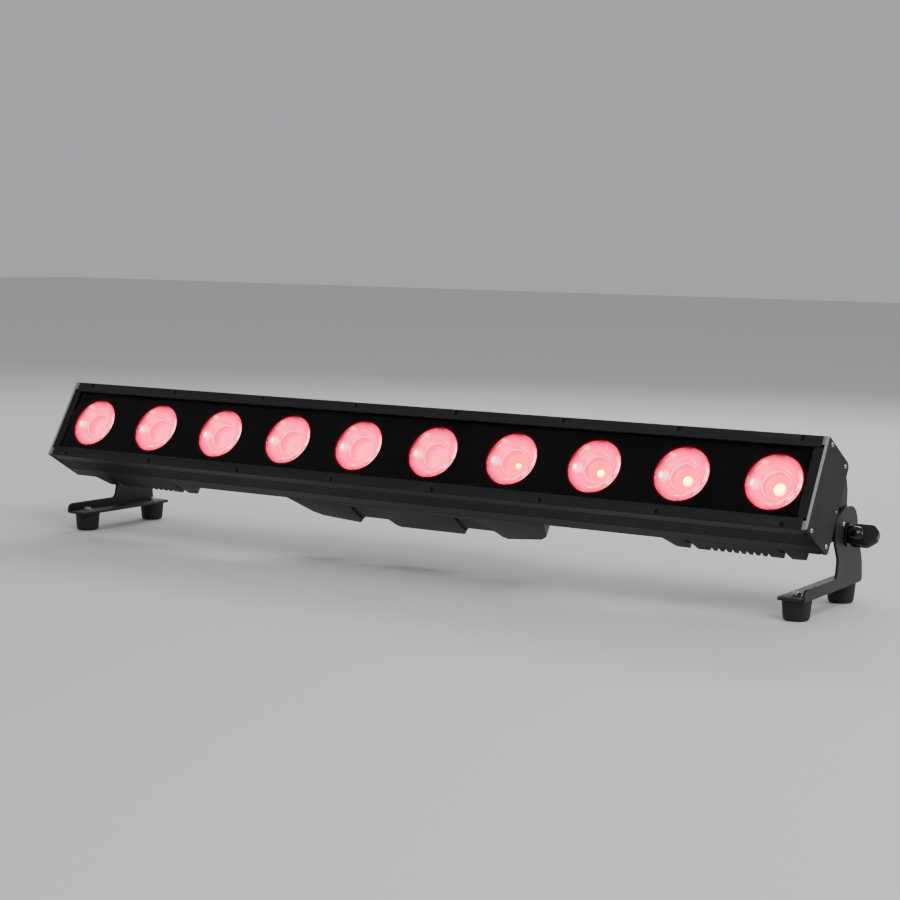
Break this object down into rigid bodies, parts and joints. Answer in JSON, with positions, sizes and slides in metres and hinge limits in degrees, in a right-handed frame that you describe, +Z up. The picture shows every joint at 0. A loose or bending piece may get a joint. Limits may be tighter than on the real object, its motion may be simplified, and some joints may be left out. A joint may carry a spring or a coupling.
{
  "type": "led strip batten",
  "caption": "Metre-long LED batten light with a row of round colour cells behind a glass front, on two tilting floor brackets with clamp knobs and rubber feet.",
  "frame": {"origin": "on the floor under the middle of the object's bounding box", "axes": "+X along the bar towards the right-hand end as seen from in front, -Y towards the lit front, +Z up"},
  "size_m": [1.0454, 0.1818, 0.1835],
  "materials": {
    "black_powder_coat": "fine matt charcoal powder coat on aluminium",
    "bracket_powder_coat": "satin dark grey powder coat",
    "gloss_black_plastic": "glossy moulded",
    "matt_black_plastic": "matt moulded",
    "grey_rubber": "matt moulded rubber",
    "black_rubber": "matt gasket",
    "tempered_glass": "clear, smooth",
    "lit_lens": "frosted acrylic, lit",
    "metallised_reflector": "vacuum-metallised polycarbonate",
    "white_circuit_board": "white solder mask",
    "green_circuit_board": "green solder mask",
    "bare_aluminium": "mill finish",
    "zinc_plated_steel": "zinc plated",
    "black_oxide_steel": "black oxide",
    "display_glass": "smoked acrylic"
  },
  "bodies": {
    "housing": {"main_housing": "black_powder_coat", "left_end_plate": "black_powder_coat", "right_end_plate": "black_powder_coat", "top_retainer": "black_powder_coat", "bottom_retainer": "black_powder_coat", "left_side_strip": "black_powder_coat", "right_side_strip": "black_powder_coat", "front_window": "tempered_glass", "window_gasket": "black_rubber", "cell_mask": "matt_black_plastic", "lens_01": "lit_lens", "lens_02": "lit_lens", "lens_03": "lit_lens", "lens_04": "lit_lens", "lens_05": "lit_lens", "lens_06": "lit_lens", "lens_07": "lit_lens", "lens_08": "lit_lens", "lens_09": "lit_lens", "lens_10": "lit_lens", "reflector_tray": "metallised_reflector", "led_board": "white_circuit_board", "heatsink": "bare_aluminium", "rear_pan": "black_powder_coat", "driver_housing": "black_powder_coat", "left_vent_housing": "black_powder_coat", "right_vent_housing": "black_powder_coat", "power_supply": "bare_aluminium", "driver_board": "green_circuit_board", "control_panel": "matt_black_plastic", "display_window": "display_glass", "power_inlet": "matt_black_plastic", "power_outlet": "matt_black_plastic", "data_inlet": "matt_black_plastic", "data_outlet": "matt_black_plastic", "left_fan_frame": "matt_black_plastic", "right_fan_frame": "matt_black_plastic", "left_pivot_cheek": "bracket_powder_coat", "right_pivot_cheek": "bracket_powder_coat"},
    "left_bracket": {"left_bracket": "bracket_powder_coat", "left_front_foot": "grey_rubber", "left_front_foot_bolt": "zinc_plated_steel", "left_rear_foot": "grey_rubber", "left_rear_foot_bolt": "zinc_plated_steel"},
    "left_clamp_washer": {"left_clamp_washer": "black_oxide_steel"},
    "left_knob": {"left_knob": "gloss_black_plastic"},
    "left_fan_rotor": {"left_fan_rotor": "gloss_black_plastic"},
    "right_bracket": {"right_bracket": "bracket_powder_coat", "right_front_foot": "grey_rubber", "right_front_foot_bolt": "zinc_plated_steel", "right_rear_foot": "grey_rubber", "right_rear_foot_bolt": "zinc_plated_steel"},
    "right_clamp_washer": {"right_clamp_washer": "black_oxide_steel"},
    "right_knob": {"right_knob": "gloss_black_plastic"},
    "right_fan_rotor": {"right_fan_rotor": "gloss_black_plastic"},
    "menu_button": {"menu_button": "matt_black_plastic"},
    "down_button": {"down_button": "matt_black_plastic"},
    "up_button": {"up_button": "matt_black_plastic"},
    "enter_button": {"enter_button": "matt_black_plastic"},
    "data_latch": {"data_latch": "zinc_plated_steel"}
  },
  "joints": [
    {"name": "left_bracket_tilt", "type": "hinge", "parent": "housing", "child": "left_bracket", "pos_m": [-0.4881, 0.04378, 0.0758], "axis": [1, 0, 0], "range_deg": [-20, 139]},
    {"name": "left_clamp_washer_slide", "type": "slide", "parent": "housing", "child": "left_clamp_washer", "axis": [-1, 0, 0], "range_m": [0, 0.0025]},
    {"name": "left_knob_turn", "type": "hinge", "parent": "left_clamp_washer", "child": "left_knob", "pos_m": [-0.5, 0.04378, 0.0758], "axis": [-1, 0, 0], "range_deg": [0, 720]},
    {"name": "left_fan_spin", "type": "hinge", "parent": "housing", "child": "left_fan_rotor", "pos_m": [-0.396, -0.00016, 0.10168], "axis": [0, 0.8616, -0.5075], "continuous": true},
    {"name": "right_bracket_tilt", "type": "hinge", "parent": "housing", "child": "right_bracket", "pos_m": [0.4881, 0.04378, 0.0758], "axis": [1, 0, 0], "range_deg": [-20, 139]},
    {"name": "right_clamp_washer_slide", "type": "slide", "parent": "housing", "child": "right_clamp_washer", "axis": [1, 0, 0], "range_m": [0, 0.0025]},
    {"name": "right_knob_turn", "type": "hinge", "parent": "right_clamp_washer", "child": "right_knob", "pos_m": [0.5, 0.04378, 0.0758], "axis": [1, 0, 0], "range_deg": [0, 720]},
    {"name": "right_fan_spin", "type": "hinge", "parent": "housing", "child": "right_fan_rotor", "pos_m": [0.396, -0.00016, 0.10168], "axis": [0, 0.8616, -0.5075], "continuous": true},
    {"name": "menu_button_press", "type": "slide", "parent": "housing", "child": "menu_button", "axis": [0, -0.8616, 0.5075], "range_m": [0, 0.0008], "stiffness_N_per_m": 600, "springref_m": -0.0008},
    {"name": "down_button_press", "type": "slide", "parent": "housing", "child": "down_button", "axis": [0, -0.8616, 0.5075], "range_m": [0, 0.0008], "stiffness_N_per_m": 600, "springref_m": -0.0008},
    {"name": "up_button_press", "type": "slide", "parent": "housing", "child": "up_button", "axis": [0, -0.8616, 0.5075], "range_m": [0, 0.0008], "stiffness_N_per_m": 600, "springref_m": -0.0008},
    {"name": "enter_button_press", "type": "slide", "parent": "housing", "child": "enter_button", "axis": [0, -0.8616, 0.5075], "range_m": [0, 0.0008], "stiffness_N_per_m": 600, "springref_m": -0.0008},
    {"name": "data_latch_press", "type": "slide", "parent": "housing", "child": "data_latch", "axis": [-0.2, -0.8442, 0.4973], "range_m": [0, 0.0007], "stiffness_N_per_m": 600, "springref_m": -0.0007}
  ],
  "couplings": [
    {"joint": "left_knob_turn", "follows": "left_clamp_washer_slide", "rad_per_m": 5026.5},
    {"joint": "right_knob_turn", "follows": "right_clamp_washer_slide", "rad_per_m": 5026.5}
  ]
}
